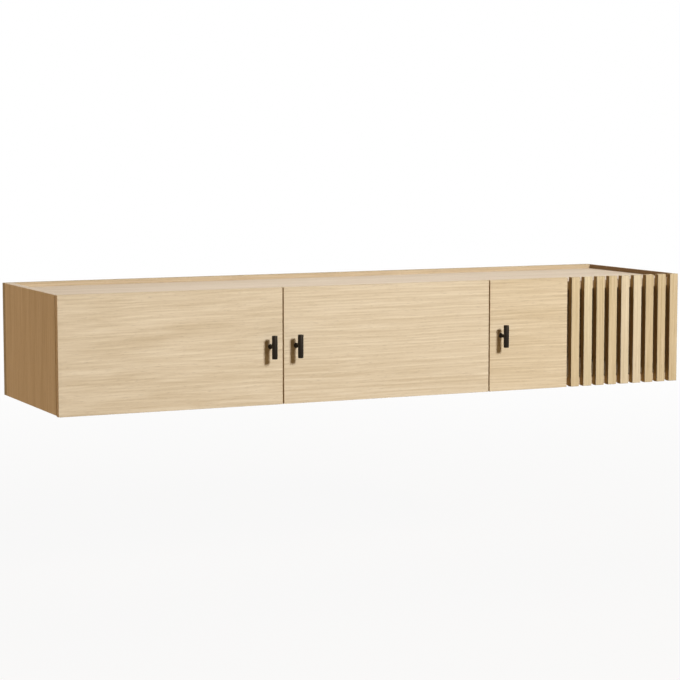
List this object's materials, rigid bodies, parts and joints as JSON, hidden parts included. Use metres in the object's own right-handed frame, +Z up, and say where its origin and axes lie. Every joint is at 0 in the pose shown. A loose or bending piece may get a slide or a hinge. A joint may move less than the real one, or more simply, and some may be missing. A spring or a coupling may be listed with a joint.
{
  "type": "floating media console",
  "caption": "Wall-hung oak media console with a sunken tray top, side-hinged flat doors on concealed hinges, black T-bar handles and a slatted end grille.",
  "frame": {"origin": "centre of the back face, on the wall", "axes": "+X to the right along the wall, +Y into the wall, -Y out to the front, +Z up"},
  "size_m": [1.5, 0.43, 0.25],
  "materials": {
    "oak_veneer": "matt lacquered oak veneer",
    "solid_oak": "matt lacquered oak",
    "beech_dowel": "raw fluted beech",
    "black_metal": "satin black powder coat",
    "nickel_plated_steel": "satin nickel plate",
    "zinc_plated_steel": "bright zinc plate",
    "black_plastic": "matt moulded",
    "clear_silicone": "milky soft"
  },
  "bodies": {
    "cabinet": {"left_side_panel": "oak_veneer", "right_side_panel": "oak_veneer", "bottom_panel": "oak_veneer", "top_panel": "oak_veneer", "back_panel": "oak_veneer", "left_partition": "oak_veneer", "right_partition": "oak_veneer", "hinge_stile": "oak_veneer", "grille_top_rail": "oak_veneer", "grille_bottom_rail": "oak_veneer", "slat_1": "solid_oak", "slat_2": "solid_oak", "slat_3": "solid_oak", "slat_4": "solid_oak", "slat_5": "solid_oak", "slat_6": "solid_oak", "slat_7": "solid_oak", "slat_8": "solid_oak", "slat_9": "solid_oak", "panel_dowels": "beech_dowel", "cam_bolts": "zinc_plated_steel", "cam_locks": "zinc_plated_steel", "cable_grommets": "black_plastic", "left_hinge_arms": "nickel_plated_steel", "left_hinge_plates": "nickel_plated_steel", "left_plate_screws": "zinc_plated_steel", "middle_hinge_arms": "nickel_plated_steel", "middle_hinge_plates": "nickel_plated_steel", "middle_plate_screws": "zinc_plated_steel", "right_hinge_arms": "nickel_plated_steel", "right_hinge_plates": "nickel_plated_steel", "right_plate_screws": "zinc_plated_steel"},
    "left_door": {"left_door_panel": "oak_veneer", "left_handle_bar": "black_metal", "left_handle_post": "black_metal", "left_handle_screw": "zinc_plated_steel", "left_door_bumpers": "clear_silicone", "left_hinge_cups": "nickel_plated_steel", "left_hinge_pins": "nickel_plated_steel", "left_cup_screws": "zinc_plated_steel"},
    "middle_door": {"middle_door_panel": "oak_veneer", "middle_handle_bar": "black_metal", "middle_handle_post": "black_metal", "middle_handle_screw": "zinc_plated_steel", "middle_door_bumpers": "clear_silicone", "middle_hinge_cups": "nickel_plated_steel", "middle_hinge_pins": "nickel_plated_steel", "middle_cup_screws": "zinc_plated_steel"},
    "right_door": {"right_door_panel": "oak_veneer", "right_handle_bar": "black_metal", "right_handle_post": "black_metal", "right_handle_screw": "zinc_plated_steel", "right_door_bumpers": "clear_silicone", "right_hinge_cups": "nickel_plated_steel", "right_hinge_pins": "nickel_plated_steel", "right_cup_screws": "zinc_plated_steel"}
  },
  "joints": [
    {"name": "left_door_swing", "type": "hinge", "parent": "cabinet", "child": "left_door", "pos_m": [-0.743, -0.3938, 0], "axis": [0, 0, -1], "range_deg": [0, 95]},
    {"name": "middle_door_swing", "type": "hinge", "parent": "cabinet", "child": "middle_door", "pos_m": [0.242, -0.3938, 0], "axis": [0, 0, 1], "range_deg": [0, 95]},
    {"name": "right_door_swing", "type": "hinge", "parent": "cabinet", "child": "right_door", "pos_m": [0.445, -0.3938, 0], "axis": [0, 0, 1], "range_deg": [0, 95]}
  ]
}
